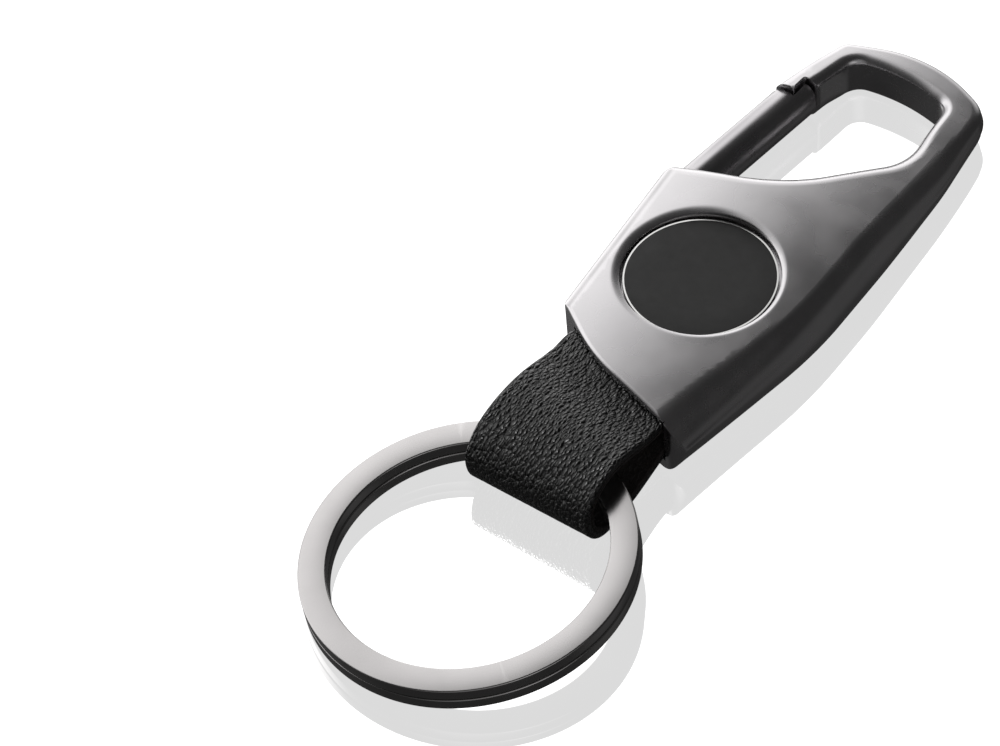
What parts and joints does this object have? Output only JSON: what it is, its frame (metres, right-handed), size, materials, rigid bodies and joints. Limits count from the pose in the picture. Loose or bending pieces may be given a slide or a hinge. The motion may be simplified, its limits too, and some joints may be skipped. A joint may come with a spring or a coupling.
{
  "type": "carabiner key ring with leather strap",
  "caption": "Key ring: a flat split ring held by a folded leather strap to a cast carabiner clip with an inlay disc and a spring gate that swings inward.",
  "frame": {"origin": "on the flat back, under the centre of the inlay disc", "axes": "+Y towards the hook, -Y towards the split ring, +Z out of the front face, +X towards the solid side of the hook"},
  "size_m": [0.0351, 0.0999, 0.0091],
  "materials": {
    "gunmetal": "satin gunmetal plating",
    "nickel": "satin nickel plating",
    "steel": "plain",
    "black_inlay": "matt",
    "adhesive": "clear amber film",
    "leather": "pebbled grain",
    "lining": "smooth"
  },
  "bodies": {
    "carabiner": {"carabiner_body": "gunmetal", "inlay_disc": "black_inlay", "inlay_adhesive": "adhesive", "gate_pivot_pin": "steel", "gate_spring": "steel", "strap_screw_left": "steel", "strap_screw_right": "steel"},
    "gate": {"gate": "gunmetal"},
    "plunger": {"spring_plunger": "steel"},
    "strap_loop": {"strap_leather": "leather", "strap_lining": "lining"},
    "key_ring": {"split_ring": "nickel"}
  },
  "joints": [
    {"name": "gate_hinge", "type": "hinge", "parent": "carabiner", "child": "gate", "pos_m": [-0.0106, 0.01, 0.00305], "axis": [0, 0, -1], "range_deg": [0, 26], "stiffness_Nm_per_rad": 0.012, "springref_deg": -34.38},
    {"name": "plunger_slide", "type": "slide", "parent": "carabiner", "child": "plunger", "axis": [0, -1, 0], "range_m": [0, 0.00135], "deforming": ["gate_spring"]},
    {"name": "strap_flex", "type": "hinge", "parent": "carabiner", "child": "strap_loop", "pos_m": [0, -0.019, 0.0033], "axis": [1, 0, 0], "range_deg": [-20, 20], "deforming": ["strap_leather", "strap_lining"]},
    {"name": "ring_swing", "type": "hinge", "parent": "strap_loop", "child": "key_ring", "pos_m": [0, -0.0275, 0.00325], "axis": [1, 0, 0], "range_deg": [-9, 20]}
  ],
  "couplings": [
    {"joint": "plunger_slide", "follows": "gate_hinge", "m_per_rad": 0.002865}
  ]
}
